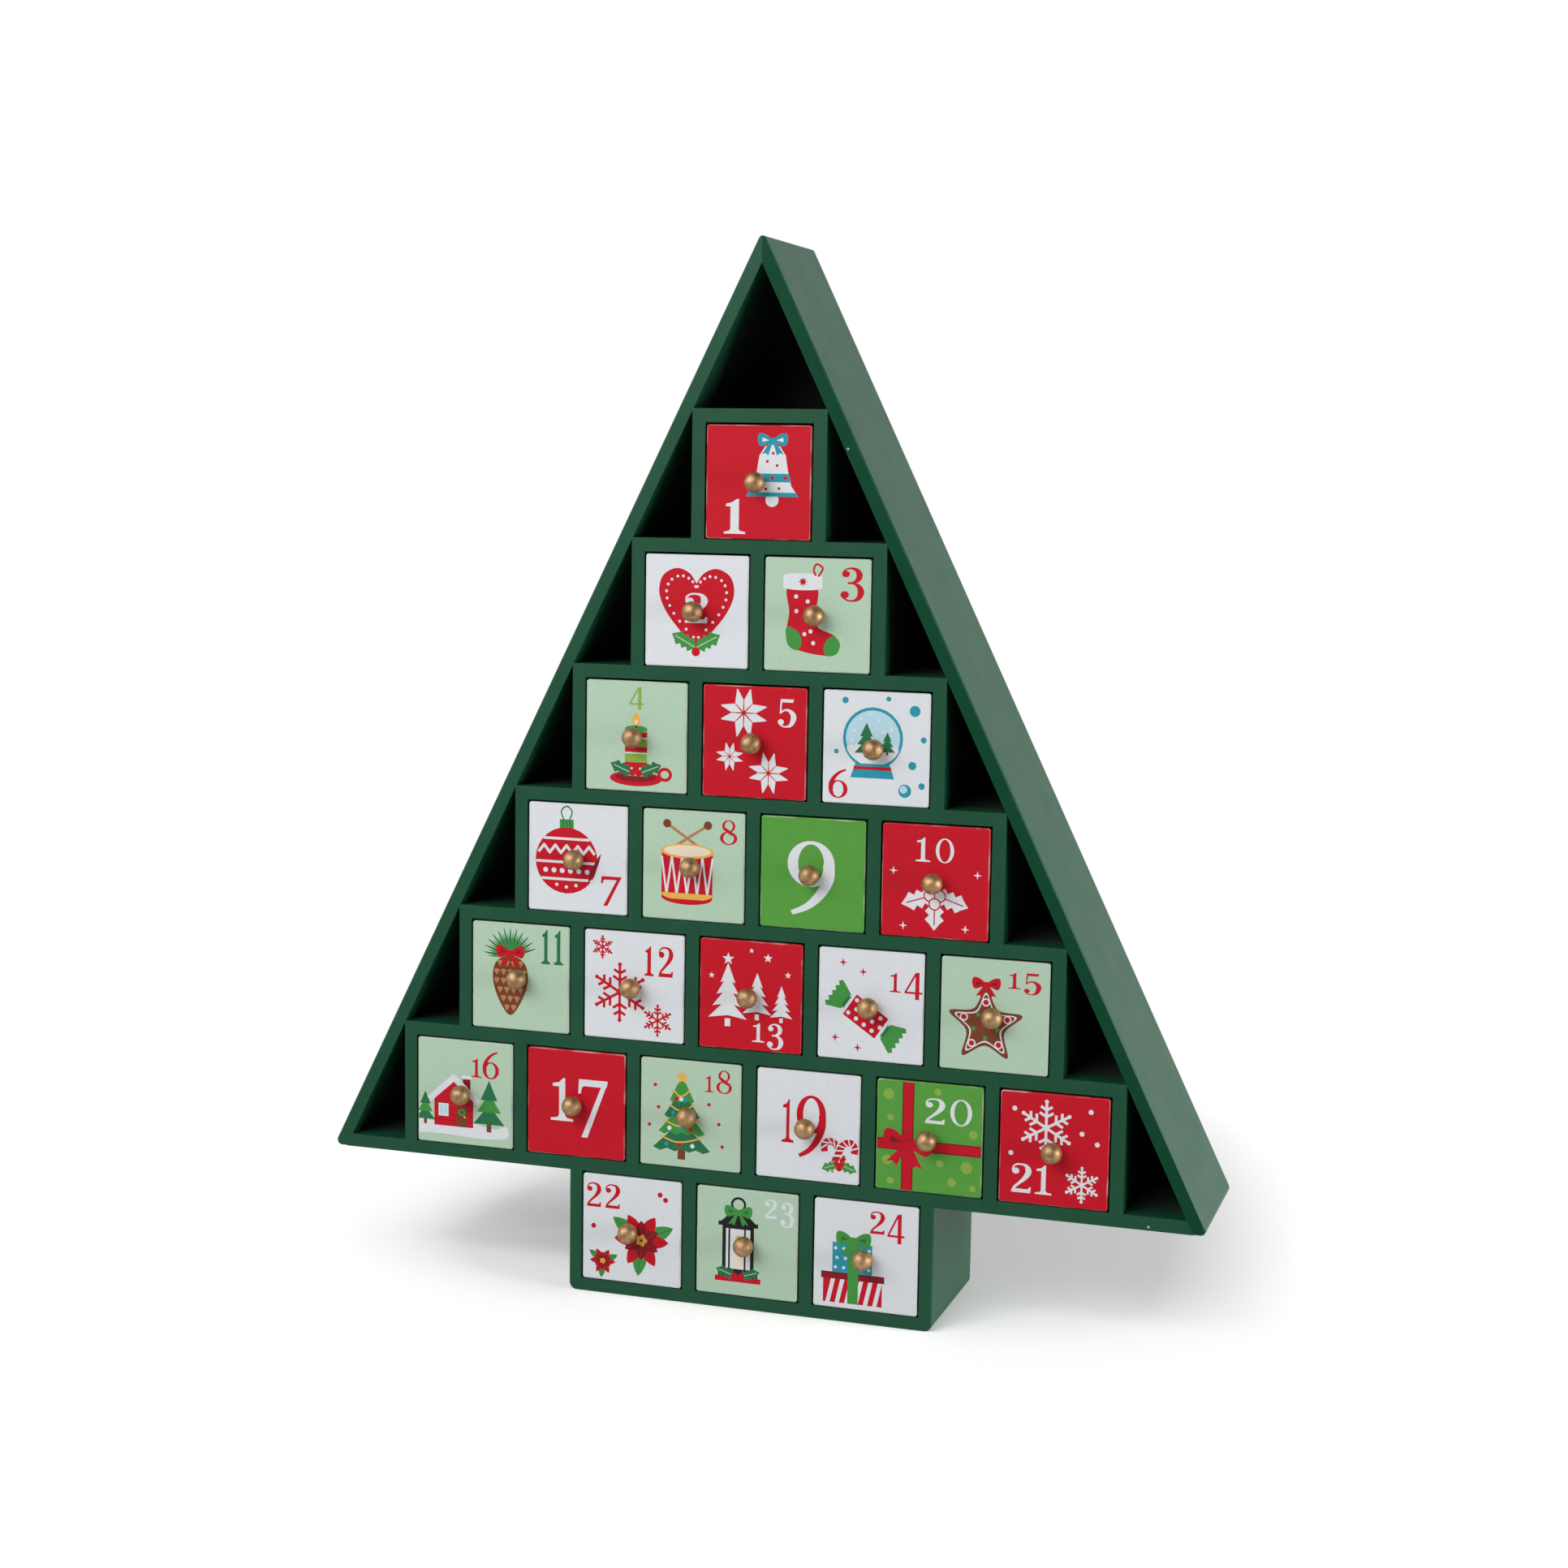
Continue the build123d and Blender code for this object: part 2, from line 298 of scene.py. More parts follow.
def inkFinish(name, colour):
    made, tree = newMaterial(name)
    paler = [min(1.0, part * inkSet["paler"] + inkSet["lift"]) for part in colour]
    darker = [part * inkSet["darker"] for part in colour]
    flecks = remap(tree, speckle(tree, inkSet["fleck"], 4.0), *inkSet["fleckSpan"])
    cloud = remap(tree, speckle(tree, inkSet["cloud"]), *inkSet["cloudSpan"], 0.0, inkSet["cloudShare"])
    mixed = blend(tree, cloud, blend(tree, flecks, darker, paler), colour)
    return finish(made, inkSet, mixed, sheen(tree, inkSet), speckle(tree, inkSet["grain"]))


def edgeFinish(name, colour):      # paint rubbed off to the pale wood
    made, tree = newMaterial(name)
    worn = remap(tree, speckle(tree, edgeSet["wear"], 4.0), *edgeSet["wearSpan"], 0.0, edgeSet["wearShare"])
    mixed = blend(tree, worn, colour, woodSet["edge"])
    return finish(made, edgeSet, mixed, sheen(tree, edgeSet), speckle(tree, edgeSet["grain"]))


def trayWood():
    made, tree = newMaterial("tray_wood")
    fibre = speckle(tree, woodSet["fibre"], 5.0, woodSet["stretch"])
    colour = blend(tree, remap(tree, fibre, *woodSet["fibreSpan"]), woodSet["dark"], woodSet["pale"])
    return finish(made, woodSet, colour, remap(tree, fibre, *noiseSpan, *woodSet["roughness"]), fibre)


inkMaterial = {ink: inkFinish("ink_" + ink, colour) for ink, colour in inks.items()}
grounds = ("red", "white", "paleGreen", "brightGreen")
edgeMaterial = {ink: edgeFinish("front_edge_" + ink, inks[ink]) for ink in grounds}
trayMaterial = trayWood()


# Printed shapes, in mm from the middle of a front
def smooth(points, closed=False, steps=6):
    count = len(points)
    spans = count if closed else count - 1
    pick = (lambda i: points[i % count]) if closed else (lambda i: points[max(0, min(count - 1, i))])
    curve = []
    for i in range(spans):
        a, b, c, d = pick(i - 1), pick(i), pick(i + 1), pick(i + 2)
        for step in range(steps):
            t = step / steps
            curve.append(tuple(0.5 * (2 * q + (r - p) * t + (2 * p - 5 * q + 4 * r - s) * t * t
                                      + (3 * q - p - 3 * r + s) * t ** 3) for p, q, r, s in zip(a, b, c, d)))
    return curve if closed else curve + [tuple(points[-1])]


def placed(points, u, v, size=1.0, turn=0.0):
    c, s = math.cos(math.radians(turn)) * size, math.sin(math.radians(turn)) * size
    return [(u + x * c - y * s, v + x * s + y * c) for x, y in points]


def oval(u, v, wide, tall=None, count=28):
    tall = wide if tall is None else tall
    turns = [2 * math.pi * i / count for i in range(count)]
    return [(u + wide * math.cos(turn), v + tall * math.sin(turn)) for turn in turns]


def bothSides(points):      # closes a right-hand half outline by its mirror image
    return points + [(-u, v) for u, v in reversed(points) if u > 0]


ringSides = 40
bowTail = [(0, 0), (0.30, -0.95), (0.52, -0.78), (0.78, -0.88), (0.16, 0)]
bowLoop = [(0, 0), (0.45, 0.42), (0.95, 0.50), (1.05, 0.05), (0.85, -0.32), (0.4, -0.2)]
bowCrease = [(0.25, 0.06), (0.72, 0.24), (0.74, -0.06)]


class Sheet:
    def __init__(self):
        self.shapes = []

    def fill(self, ink, points):
        area = sum(p[0] * q[1] - q[0] * p[1] for p, q in zip(points, points[1:] + points[:1]))
        if abs(area) > 1e-6:
            self.shapes.append((ink, points if area > 0 else points[::-1]))

    def dot(self, ink, u, v, radius):
        self.fill(ink, oval(u, v, radius))

    def dots(self, ink, radius, *places):
        for u, v in places:
            self.dot(ink, u, v, radius)

    def box(self, ink, left, low, right, high):
        self.fill(ink, [(left, low), (right, low), (right, high), (left, high)])

    def blob(self, ink, points):
        self.fill(ink, smooth(points, True))

    def stroke(self, ink, path, bent=True):      # path of (u, v, width)
        path = smooth(path) if bent else path
        sides = []
        for i, (u, v, width) in enumerate(path):
            before, after = path[max(0, i - 1)], path[min(len(path) - 1, i + 1)]
            along = Vector((after[0] - before[0], after[1] - before[1])).normalized() * width / 2
            sides.append(((u - along.y, v + along.x), (u + along.y, v - along.x)))
        for (a, b), (c, d) in zip(sides, sides[1:]):
            self.fill(ink, [a, b, d, c])

    def line(self, ink, width, *points):
        for start, end in zip(points, points[1:]):
            self.stroke(ink, [(*start, width), (*end, width)], False)
        for point in points[1:-1]:
            self.dot(ink, *point, width / 2)

    def ring(self, ink, u, v, outer, inner):      # outer and inner are (wide, tall)
        first, second = [oval(u, v, *radii, count=ringSides) for radii in (outer, inner)]
        for i in range(ringSides):
            j = (i + 1) % ringSides
            self.fill(ink, [first[i], first[j], second[j], second[i]])

    def petal(self, ink, u, v, length, width, turn):      # pointed at both ends
        half = [(length * t / 8, width / 2 * math.sin(math.pi * t / 8) ** 0.8) for t in range(9)]
        self.fill(ink, placed(half + [(x, -y) for x, y in half[7:0:-1]], u, v, 1.0, turn))

    def star(self, ink, u, v, outer, inner, points):
        rays = [((outer, inner)[i % 2], math.pi * i / points) for i in range(2 * points)]
        self.fill(ink, placed([(r * math.cos(a), r * math.sin(a)) for r, a in rays], u, v, 1.0, 90))

    def flake(self, ink, u, v, radius, width):
        for angle in range(90, 450, 60):
            branches = [[(0, 0), (radius, 0)]]
            for reach, side in ((0.42, 0.26), (0.68, 0.22)):
                tip = (reach + side * 0.6) * radius
                branches += [[(reach * radius, 0), (tip, hand * side * radius)] for hand in (1, -1)]
            for branch in branches:
                self.line(ink, width, *placed(branch, u, v, 1.0, angle))
            self.dot(ink, *placed([(radius, 0)], u, v, 1.0, angle)[0], width * 0.75)

    def holly(self, ink, u, v, length, turn, vein=None):
        outline = [(0, 0)]
        for t in (0.22, 0.46, 0.70):
            outline += [(length * t, length * 0.27), (length * (t + 0.11), length * 0.15)]
        outline += [(length, 0)]
        outline += [(x, -y) for x, y in outline[-2:0:-1]]
        self.fill(ink, placed(outline, u, v, 1.0, turn))
        if vein:
            rib = placed([(length * 0.05, 0), (length * 0.85, 0)], u, v, 1.0, turn)
            self.line(vein, length * 0.035, *rib)

    def bow(self, ink, fold, u, v, size, turn=0.0):
        for hand in (1, -1):
            tail, loop, crease = [[(hand * x, y) for x, y in part] for part in (bowTail, bowLoop, bowCrease)]
            self.fill(ink, placed(tail, u, v, size, turn))
            self.fill(ink, placed(smooth(loop, True), u, v, size, turn))
            self.fill(fold, placed(crease, u, v, size, turn))
        self.fill(ink, placed(oval(0, 0, 0.24, 0.22), u, v, size, turn))


# Numerals with thick and thin strokes, one unit tall; (x, y, width) along each stroke
numeralHair = 0.045
numeralRings = {"0": [(0, .5, .40, .5, .155)], "6": [(0, .31, .29, .31, .13)],
                "8": [(0, .755, .215, .245, .085), (0, .27, .285, .27, .11)]}
numeralBalls = {"2": [(-.165, .735, .105)], "3": [(-.165, .80, .095), (-.19, .20, .105)],
                "5": [(-.185, .19, .10)]}
numeralPlates = {
    "1": [[(-.09, 0), (.09, 0), (.09, 1), (.03, 1), (-.09, .90), (-.28, .865), (-.28, .795), (-.09, .80)],
          [(-.33, 0), (.33, 0), (.33, .055), (.14, .08), (.09, .13), (-.09, .13), (-.14, .08), (-.33, .055)]],
    "heavy 1": [[(-.13, 0), (.13, 0), (.13, 1), (.06, 1), (-.10, .90), (-.27, .865), (-.27, .785),
                 (-.13, .785)],
                [(-.33, 0), (.33, 0), (.33, .055), (.17, .085), (.13, .14), (-.13, .14), (-.17, .085),
                 (-.33, .055)]],
    "2": [[(-.28, 0), (.27, 0), (.285, .20), (.235, .20), (.20, .125), (-.16, .125), (-.28, .07)]],
    "4": [[(.06, 0), (.21, 0), (.21, 1), (.10, 1), (.06, .94)],
          [(-.34, .21), (.33, .21), (.33, .285), (-.34, .285)]],
    "5": [[(-.205, .885), (.20, .885), (.235, 1), (-.195, 1)]],
    "7": [[(-.26, 1), (.31, 1), (.31, .96), (.285, .885), (-.16, .885), (-.20, .86), (-.225, .75),
           (-.275, .75)],
          [(.31, .97), (.185, .90), (-.205, 0), (-.085, 0)]]}
numeralStrokes = {
    "2": [[(-.25, .74, .05), (-.235, .87, .05), (-.14, .955, .06), (0, .97, .06), (.13, .93, .10),
           (.20, .80, .165), (.19, .66, .165), (.10, .50, .13), (-.04, .34, .09), (-.17, .20, .08),
           (-.235, .08, .08)]],
    "3": [[(-.24, .82, .05), (-.18, .92, .045), (-.05, .97, .055), (.10, .92, .11), (.165, .78, .155),
           (.12, .63, .12), (0, .555, .06), (-.12, .545, .05)],
          [(-.12, .535, .05), (.03, .53, .06), (.15, .45, .12), (.205, .29, .165), (.15, .11, .12),
           (.02, .03, .06), (-.13, .045, .05), (-.255, .15, .06)]],
    "4": [[(.085, .975, .07), (-.31, .25, .07)]],
    "5": [[(-.18, .93, .055), (-.205, .49, .05)],
          [(-.21, .50, .045), (-.08, .605, .06), (.08, .60, .10), (.21, .46, .17), (.22, .30, .175),
           (.14, .10, .12), (0, .03, .055), (-.14, .05, .05), (-.245, .14, .05)]],
    "6": [[(-.22, .31, .14), (-.215, .50, .14), (-.13, .70, .12), (.03, .88, .09), (.23, .985, .06)]],
    "8": [[(-.15, .67, .09), (0, .53, .13), (.17, .40, .11)]]}


def drawNumeral(sheet, ink, digit, left, low, wide, high):
    known = "6" if digit == "9" else digit      # a nine is a six turned round
    hand = -1 if digit == "9" else 1
    draft = Sheet()
    for x, y, across, up, thick in numeralRings.get(known, []):
        draft.ring(ink, x, y, (across, up), (across - thick, up - numeralHair))
    for path in numeralStrokes.get(known, []):
        draft.stroke(ink, path, len(path) > 2)
    for plate in numeralPlates.get(known, []):
        draft.fill(ink, plate)
    for ball in numeralBalls.get(known, []):
        draft.dot(ink, *ball)
    spots = [(hand * x, hand * y) for _, points in draft.shapes for x, y in points]
    (firstX, lastX), (firstY, lastY) = [(min(values), max(values)) for values in zip(*spots)]
    for _, points in draft.shapes:
        sheet.fill(ink, [(left + (hand * x - firstX) / (lastX - firstX) * wide,
                          low + (hand * y - firstY) / (lastY - firstY) * high) for x, y in points])


# Motifs
def drawBell(sheet):
    body = bothSides([(0, 12.5), (2.6, 12.0), (4.6, 9.0), (5.4, 4.0), (6.6, -1.0), (9.2, -4.6)])
    sheet.dot("white", 4.0, -5.2, 2.3)
    sheet.fill("white", placed(body, 4.0, 0.5))
    sheet.fill("teal", placed(bothSides([(5.75, 3.0), (6.6, 0.2)]), 4.0, 0.5))
    sheet.fill("teal", placed([(9.2, -4.6), (8.3, -3.2), (-8.3, -3.2), (-9.2, -4.6)], 4.0, 0.5))
    for u in (-0.5, 4.0, 8.5):
        sheet.star("red", u, 2.1, 1.1, 0.5, 5)
    sheet.dots("red", 0.5, (2.2, 7.5), (5.6, 6.2), (4.2, 10.2), (1.8, -1.6), (6.4, -1.4))
    sheet.bow("teal", "white", 4.0, 14.2, 5.0)


def drawHeart(sheet):
    half = [(0, 7.2), (2.2, 10.2), (6.2, 11.6), (10.4, 9.4), (11.6, 4.6), (9.6, -0.8), (5.2, -6.4),
            (0, -11.6)]
    curve = smooth(half, steps=8)
    sheet.fill("red", placed(bothSides(curve), 0, 0.5))
    inner = [(u * 0.80, v * 0.80 + 0.6) for u, v in curve]
    for i in range(2, len(inner), 4):
        for hand in (1, -1):
            sheet.dot("white", hand * inner[i][0], inner[i][1], 0.42)
    for hand in (1, -1):
        sheet.holly("green", 0, -11.0, 8.5, 90 - hand * 62, "paleGreen")
    sheet.dot("red", 0, -12.2, 1.3)


def drawStocking(sheet):
    sheet.blob("red", [(-10.5, 9.5), (-10.0, 1.0), (-10.8, -5.0), (-10.2, -10.0), (-6.5, -12.2), (1.0, -13.6),
                       (6.6, -13.2), (8.4, -9.6), (6.0, -6.6), (0.6, -4.2), (-0.6, 0.0), (-0.2, 9.5)])
    sheet.blob("green", [(3.6, -13.8), (7.2, -13.0), (8.4, -9.6), (6.2, -6.9), (3.8, -8.2), (2.6, -11.0)])
    sheet.blob("green", [(-10.9, -4.4), (-10.4, -10.2), (-7.0, -12.2), (-5.4, -9.4), (-6.8, -5.8)])
    sheet.dots("white", 0.72, (-7.6, 6.2), (-3.4, 4.6), (-7.4, 1.2), (-4.0, -1.2), (-4.4, -6.6), (-1.2, -9.6),
               (-2.2, -5.6))
    sheet.blob("white", [(-11.8, 9.0), (-5.4, 8.4), (1.2, 9.0), (1.6, 11.2), (1.0, 13.6), (-5.4, 14.2),
                         (-11.6, 13.6), (-12.2, 11.2)])
    loop = [(0.2, 13.2), (1.8, 16.0), (-0.4, 17.4), (-1.4, 15.4), (-0.6, 13.4)]
    sheet.stroke("red", [(*point, 0.7) for point in loop])
    sheet.star("red", -5.2, 11.3, 1.7, 0.8, 8)


def drawCandle(sheet):
    sheet.fill("red", oval(0, -13.4, 9.4, 2.6))
    sheet.fill("darkRed", oval(0, -12.9, 7.4, 1.6))
    sheet.ring("red", 10.4, -11.6, (2.6, 2.4), (1.5, 1.3))
    sheet.box("olive", -4.0, -12.6, 4.0, 3.4)
    sheet.fill("green", oval(0, 3.4, 4.0, 1.1))
    for low in (-9.6, -4.4, 0.6):
        sheet.box("red", -4.0, low, 4.0, low + 1.7)
        sheet.box("white", -4.0, low - 0.6, 4.0, low - 0.2)
    sheet.line("black", 0.5, (0, 3.4), (0, 5.0))
    sheet.blob("gold", [(0, 8.9), (1.5, 6.4), (0.9, 4.8), (0, 4.5), (-0.9, 4.8), (-1.5, 6.4)])
    sheet.fill("cream", oval(0, 5.7, 0.55, 0.9))
    for hand in (1, -1):
        sheet.holly("darkGreen", hand * 1.4, -11.6, 8.4, 90 - hand * 68, "paleGreen")
    sheet.dots("red", 1.15, (-1.2, -11.4), (1.1, -11.6), (0, -10.0))


def drawStars(sheet):
    petal = [(0.08, 0), (0.50, 0.19), (1.0, 0.02), (1.0, -0.02), (0.50, -0.19)]
    for u, v, radius in ((-4.2, 10.6, 9.0), (-9.4, -5.6, 5.2), (5.6, -11.0, 7.6)):
        for ray in range(8):
            skew = 0.22 if ray % 2 else -0.22
            leaning = [(x, y + skew * max(0, x - 0.5)) for x, y in petal]
            sheet.fill("white", placed(leaning, u, v, radius, 22.5 + 45.0 * ray))


def drawGlobe(sheet):
    sheet.dot("teal", -3.4, 2.8, 11.2)
    sheet.dot("paleTeal", -3.4, 2.8, 10.1)
    sheet.blob("white", [(-13.0, -0.6), (-8.6, 0.4), (-3.2, -0.9), (2.2, 0.6), (6.2, -0.8), (4.4, -4.2),
                         (0.2, -6.6), (-3.4, -7.2), (-7.2, -6.6), (-11.2, -4.0)])
    for u, low, size in ((-5.8, -2.6, 1.0), (2.0, -2.0, 0.66)):
        sheet.box("brown", u - 0.6 * size, low - 1.6 * size, u + 0.6 * size, low)
        for tier in range(3):
            wide, base = (4.4 - tier * 1.0) * size, low + tier * 3.0 * size
            sheet.fill("darkGreen", [(u - wide, base), (u + wide, base), (u, base + 5.0 * size)])
    sheet.dots("white", 0.55, (-10.4, 5.4), (-1.2, 9.4), (-8.0, 9.8), (3.4, 6.2), (-11.0, 1.6), (0.4, 5.2),
               (-4.6, 11.6))
    sheet.fill("teal", [(-11.6, -11.6), (4.8, -11.6), (3.0, -6.4), (-9.8, -6.4)])
    sheet.box("red", -10.4, -8.6, 3.6, -7.4)
    for u, v, radius in ((-13.9, 16.2, 1.2), (12.0, 13.2, 2.0), (15.4, 3.0, 1.1), (11.4, -6.4, 1.5),
                         (15.0, -13.6, 1.2), (8.8, -15.6, 2.4), (-17.0, -2.4, 0.9), (2.2, 17.2, 0.9)):
        sheet.dot("teal", u, v, radius)
    sheet.dot("paleTeal", 8.3, -15.1, 1.4)


def drawBauble(sheet):
    loop = [(-5.4, 13.6), (-6.4, 16.6), (-4.4, 18.4), (-2.4, 16.6), (-3.4, 13.6)]
    sheet.stroke("darkGreen", [(*point, 0.5) for point in loop])
    sheet.box("green", -7.0, 10.4, -1.8, 13.8)
    for u in (-5.7, -4.4, -3.1):
        sheet.box("darkGreen", u - 0.25, 10.4, u + 0.25, 13.8)
    sheet.dot("red", -4.4, -0.6, 11.6)
    zigzag = [(-14.9 + 2.1 * i, 4.6 if i % 2 else 2.0) for i in range(11)]
    sheet.line("white", 1.0, *zigzag)
    for low, span in ((7.0, 8.6), (-1.2, 11.4), (-7.2, 9.4)):
        sheet.box("white", -4.4 - span, low - 0.45, -4.4 + span, low + 0.45)
    for i in range(6):
        sheet.dot("white", -12.2 + 3.1 * i, -4.2, 0.9)
    sheet.dots("white", 0.6, (-8.0, -9.2), (-4.4, -9.9), (-0.8, -9.2))
    sheet.petal("darkRed", 3.6, -8.4, 12.0, 1.6, 66)


def drawDrum(sheet):
    for hand in (1, -1):
        sheet.line("tan", 1.1, (-2.4 - hand * 8.0, 15.4), (-2.4 + hand * 6.4, 6.0))
        sheet.dot("brown", -2.4 - hand * 8.0, 15.4, 1.6)
    sheet.box("red", -12.4, -12.0, 7.6, 5.4)
    sheet.fill("red", oval(-2.4, -12.0, 10.0, 2.6))
    for i in range(5):
        u = -12.4 + 4.0 * i
        sheet.line("white", 0.8, (u, 3.2), (u + 2.0, -10.8), (u + 4.0, 3.2))
    for high in (5.4, -10.4):
        band = oval(-2.4, high, 10.4, 2.8, count=ringSides)
        lower = [point for point in band if point[1] <= high + 0.01]
        sheet.fill("gold", lower + [(u, v - 2.2) for u, v in reversed(lower)])
    sheet.fill("gold", oval(-2.4, 5.4, 10.4, 2.8))
    sheet.fill("cream", oval(-2.4, 5.5, 9.2, 2.1))


def drawHollyFan(sheet):
    for turn in (198, 270, 342):
        sheet.holly("white", 0, -4.6, 13.0, turn, "red")
    for u, v in ((-1.9, -5.0), (1.9, -5.0), (0, -8.0)):
        sheet.dot("red", u, v, 2.3)
        sheet.dot("white", u, v, 1.8)
    for u, v in ((-15.5, 3.4), (15.5, 3.4), (-11.5, -16.4), (11.5, -16.4)):
        sheet.star("white", u, v, 1.6, 0.45, 4)


def drawCone(sheet):
    for turn in range(20, 175, 14):
        sheet.petal("darkGreen", -4.2, 7.6, 11.5, 0.9, turn)
        sheet.petal("green", -4.2, 7.6, 9.5, 0.9, turn + 7)
    sheet.blob("brown", [(-4.2, 8.2), (1.6, 5.4), (3.0, -1.0), (0.8, -8.6), (-4.2, -15.0), (-9.2, -8.6),
                         (-11.4, -1.0), (-10.0, 5.4)])
    for row in range(6):
        high, span = 5.2 - 3.4 * row, (4, 5, 5, 4, 3, 2)[row]
        for i in range(span):
            u = -4.2 + (i - (span - 1) / 2) * 2.8
            sheet.fill("tan", placed([(-1.25, 0.5), (0, -1.6), (1.25, 0.5), (0, 1.0)], u, high))
    sheet.bow("red", "darkRed", -4.2, 9.0, 5.6)


def drawFlakes(ink, *flakes):
    def draw(sheet):
        for u, v, radius in flakes:
            sheet.flake(ink, u, v, radius, 0.35 + radius * 0.065)
            sheet.star(ink, u, v, radius * 0.26, radius * 0.12, 6)
    return draw


def drawPines(sheet):
    for u, low, size in ((-8.8, -9.0, 1.35), (2.6, -6.6, 1.0), (12.0, -7.4, 0.78)):
        sheet.box("white", u - 0.8 * size, low - 2.2 * size, u + 0.8 * size, low)
        for tier in range(4):
            wide, base = (5.6 - tier * 1.15) * size, low + tier * 3.3 * size
            peak, notch = base + 5.6 * size, base + 0.9 * size
            sheet.fill("white", [(u - wide, base), (u, notch), (u + wide, base), (u, peak)])
    for u, v, radius in ((-8.8, 13.4, 2.4), (6.6, 14.6, 1.8), (14.4, 8.8, 1.3), (-15.2, 6.8, 1.2),
                         (0.2, 17.0, 1.0)):
        sheet.star("white", u, v, radius, radius * 0.42, 5)


def drawCracker(sheet):
    place = dict(u=-1.8, v=-4.0, turn=-34)
    for hand in (1, -1):
        for i in range(5):
            tip = -4.6 + 2.3 * i
            frill = [(9.0, 0.5 * tip + 1.0), (9.0, 0.5 * tip - 1.0), (14.4, tip - 1.2), (15.6, tip),
                     (14.4, tip + 1.2)]
            sheet.fill("green", placed([(hand * x, y) for x, y in frill], **place))
        tie = [(7.6, 3.6), (9.6, 1.8), (9.6, -1.8), (7.6, -3.6)]
        sheet.fill("darkGreen", placed([(hand * x, y) for x, y in tie], **place))
    sheet.fill("red", placed([(-8.4, -4.6), (8.4, -4.6), (8.4, 4.6), (-8.4, 4.6)], **place))
    for i in range(4):
        for j in range(3):
            spot = placed([(-5.6 + 3.6 * i + (1.8 if j % 2 else 0) - 0.4, -2.9 + 2.9 * j)], **place)[0]
            sheet.dot("white", *spot, 0.8)
    for hand in (1, -1):
        band = [(8.4, -4.6), (8.4, 4.6), (7.3, 4.6), (7.3, -4.6)]
        sheet.fill("white", placed([(hand * x, y) for x, y in band], **place))
    for u, v in ((-3.0, 12.4), (-10.6, 15.4), (-13.2, -12.6), (-4.6, -15.8)):
        sheet.star("red", u, v, 1.6, 0.5, 4)


def drawGingerbread(sheet):
    def ring(outer, inner):
        rays = [((outer, inner)[i % 2], math.radians(90 + 36 * i)) for i in range(10)]
        return [(-3.2 + r * math.cos(a), -3.6 + r * math.sin(a)) for r, a in rays]
    sheet.blob("brown", ring(14.2, 7.4))
    sheet.blob("white", ring(12.0, 6.2))
    sheet.blob("brown", ring(11.2, 5.6))
    for i in range(5):
        angle = math.radians(90 + 72 * i)
        spot = (-3.2 + 8.4 * math.cos(angle), -3.6 + 8.4 * math.sin(angle))
        sheet.dot("white", *spot, 1.5)
        sheet.dot("red", *spot, 1.0)
        aside = math.radians(126 + 72 * i)
        sheet.dot("green", -3.2 + 4.6 * math.cos(aside), -3.6 + 4.6 * math.sin(aside), 0.8)
    sheet.bow("red", "darkRed", -3.2, 11.2, 5.0)


def drawCabin(sheet):
    sheet.blob("white", [(-19.0, -9.0), (-8.0, -10.4), (4.0, -9.6), (14.0, -11.0), (18.8, -9.6),
                         (18.8, -14.2), (8.0, -15.2), (-8.0, -14.6), (-19.0, -14.4)])
    for u, low, size in ((11.6, -9.4, 1.25), (-15.2, -9.4, 0.8)):
        sheet.box("brown", u - 0.8 * size, low - 2.4 * size, u + 0.8 * size, low)
        for tier in range(3):
            wide, base = (5.2 - tier * 1.2) * size, low + tier * 3.8 * size
            tierInk = "green" if tier % 2 else "darkGreen"
            sheet.fill(tierInk, [(u - wide, base), (u + wide, base), (u, base + 6.2 * size)])
    sheet.box("darkRed", 0.6, 3.0, 3.8, 8.0)
    sheet.box("white", 0.2, 7.6, 4.2, 9.0)
    sheet.box("red", -11.4, -11.4, 5.0, 0.4)
    for low in (-9.2, -7.0, -4.8, -2.6):
        sheet.box("darkRed", -11.4, low, 5.0, low + 0.3)
    sheet.fill("red", [(-11.4, 0.2), (5.0, 0.2), (-3.2, 7.4)])
    sheet.line("white", 2.4, (-13.6, -1.4), (-3.2, 7.8), (7.2, -1.4))
    sheet.box("white", -9.6, -7.6, -5.4, -2.6)
    sheet.box("paleTeal", -9.0, -7.0, -6.0, -3.2)
    sheet.box("white", -7.7, -7.0, -7.3, -3.2)
    sheet.box("brown", -2.0, -11.4, 2.4, -3.4)
    sheet.dot("gold", 1.4, -7.4, 0.45)
    sheet.ring("green", 0.2, -5.6, (1.5, 1.5), (0.8, 0.8))


